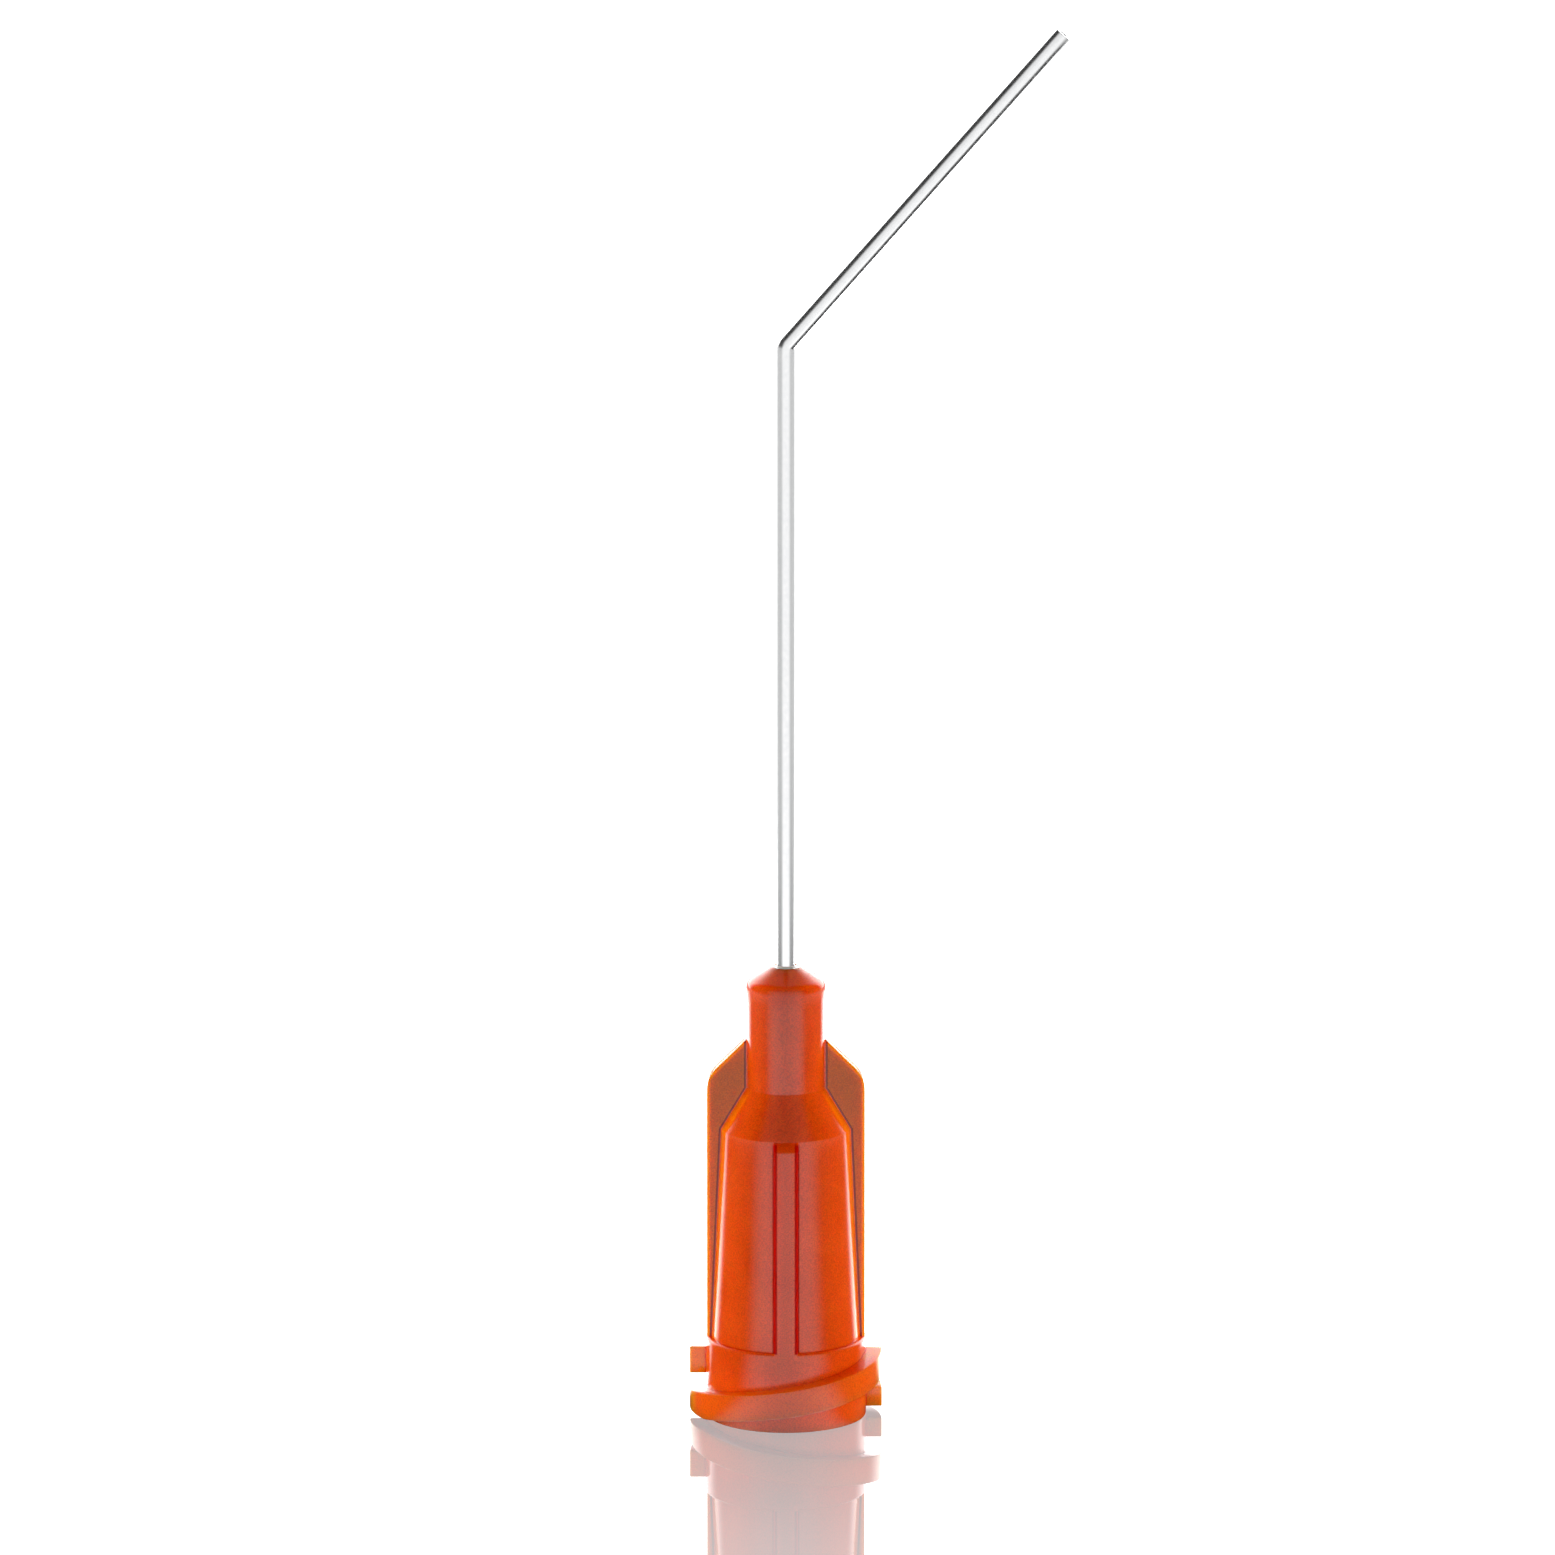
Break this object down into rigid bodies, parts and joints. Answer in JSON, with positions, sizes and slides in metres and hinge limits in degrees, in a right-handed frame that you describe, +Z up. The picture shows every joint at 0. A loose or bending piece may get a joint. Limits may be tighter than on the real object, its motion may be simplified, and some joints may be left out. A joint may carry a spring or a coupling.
{
  "type": "dispensing needle tip",
  "caption": "Bent stainless dispensing needle in a moulded luer lock hub with two side wings, for metering paste, flux or glue from a syringe.",
  "frame": {"origin": "centre of the hub's mouth, on the plane of its rim", "axes": "+Z up the hub and the straight leg of the cannula, +X the way the cannula bends; the two wings lie along X"},
  "size_m": [0.0153, 0.0078, 0.0573],
  "materials": {
    "hub_plastic": "gloss",
    "steel": "polished",
    "adhesive": "gloss"
  },
  "bodies": {
    "root": {"hub": "hub_plastic", "cannula": "steel", "adhesive_bead": "adhesive"}
  },
  "joints": []
}
